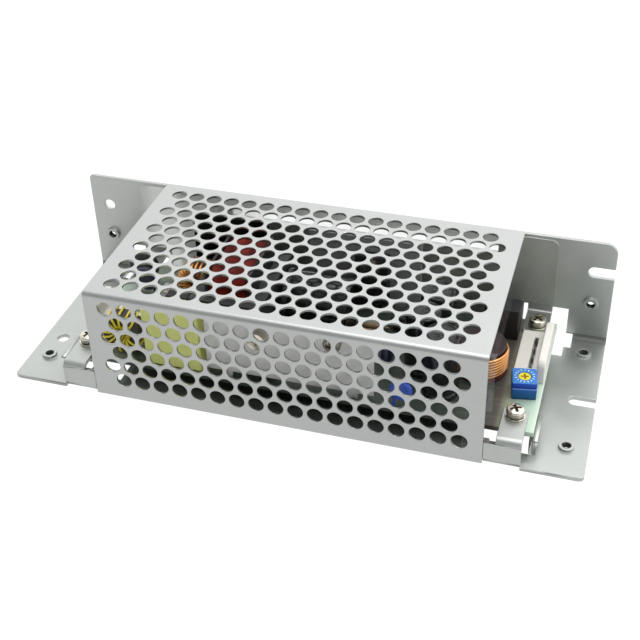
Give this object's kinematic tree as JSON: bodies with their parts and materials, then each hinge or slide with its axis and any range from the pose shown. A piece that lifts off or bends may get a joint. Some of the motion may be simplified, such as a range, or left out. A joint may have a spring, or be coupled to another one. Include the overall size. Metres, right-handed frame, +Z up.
{
  "type": "enclosed power converter",
  "caption": "Enclosed AC-DC power converter: L-shaped zinc-plated chassis with mounting ears, perforated folded cover, board with headers at both ends and a trimmer",
  "frame": {"origin": "middle of the box round the part, on the chassis underside", "axes": "+X along the chassis towards the output end with the open slots, +Y from the perforated front to the back wall, +Z up through the perforated top"},
  "size_m": [0.163, 0.06, 0.035],
  "materials": {
    "zinc_steel": "bright zinc-plated steel sheet, satin, faint rolling grain",
    "clear_film": "clear insulation film, slightly milky",
    "board_green": "pale green circuit board",
    "plated_screw": "zinc-plated small hardware",
    "white_nylon": "off-white nylon",
    "tin": "tin plate",
    "trimmer_blue": "blue moulded plastic",
    "rotor_yellow": "yellow plastic",
    "fuse_glass": "clear glass",
    "black_epoxy": "black epoxy moulding",
    "blue_ceramic": "blue dipped coating",
    "ferrite": "dark grey ferrite",
    "yellow_wire": "yellow sleeved wire",
    "yellow_box": "yellow plastic box",
    "copper_wire": "enamelled copper wire",
    "black_sleeve": "black shrink sleeve on aluminium",
    "aluminium_plate": "plain aluminium plate",
    "dark_aluminium": "dark grey anodised aluminium plate",
    "black_aluminium": "black anodised aluminium plate",
    "red_tape": "dark red tape over the coil",
    "red_core": "dark red coated powder core",
    "ivory_plastic": "ivory epoxy moulding",
    "tan_ceramic": "tan lacquer"
  },
  "bodies": {
    "converter": {"chassis": "zinc_steel", "top_cover": "zinc_steel", "insulation_sheet": "clear_film", "circuit_board": "board_green", "board_screws": "plated_screw", "spring_washers": "plated_screw", "flat_washers": "plated_screw", "board_nuts": "plated_screw", "cover_film": "clear_film", "output_connector": "white_nylon", "output_pins": "tin", "input_connector": "white_nylon", "input_pins": "tin", "trimmer_body": "trimmer_blue", "fuse_tube": "fuse_glass", "fuse_caps": "tin", "fuse_clips": "tin", "thermistor": "black_epoxy", "varistor": "blue_ceramic", "line_choke_core": "ferrite", "line_choke_winding": "yellow_wire", "x_capacitor": "yellow_box", "y_capacitors": "blue_ceramic", "filter_choke_core": "ferrite", "filter_choke_winding": "copper_wire", "bridge_rectifier": "black_epoxy", "bulk_capacitor": "black_sleeve", "input_heatsink": "black_aluminium", "primary_heatsink": "aluminium_plate", "switch_transistor": "black_epoxy", "secondary_heatsink": "dark_aluminium", "output_rectifier": "black_epoxy", "heatsink_screws": "plated_screw", "heatsink_nuts": "plated_screw", "transformer_core": "ferrite", "transformer_bobbin": "black_epoxy", "transformer_winding": "red_tape", "film_capacitor": "black_epoxy", "output_choke_core": "red_core", "output_choke_winding": "copper_wire", "output_capacitors": "black_sleeve", "auxiliary_capacitor": "black_sleeve", "disc_capacitor": "blue_ceramic", "optocoupler": "ivory_plastic", "control_chip": "black_epoxy", "resistors": "tan_ceramic", "diodes": "black_epoxy"},
    "rotor": {"trimmer_rotor": "rotor_yellow"}
  },
  "joints": [
    {"name": "trimmer_turn", "type": "hinge", "parent": "converter", "child": "rotor", "pos_m": [0.06223, -0.00778, 0.0127], "axis": [0, 0, 1], "range_deg": [-125, 125]}
  ]
}
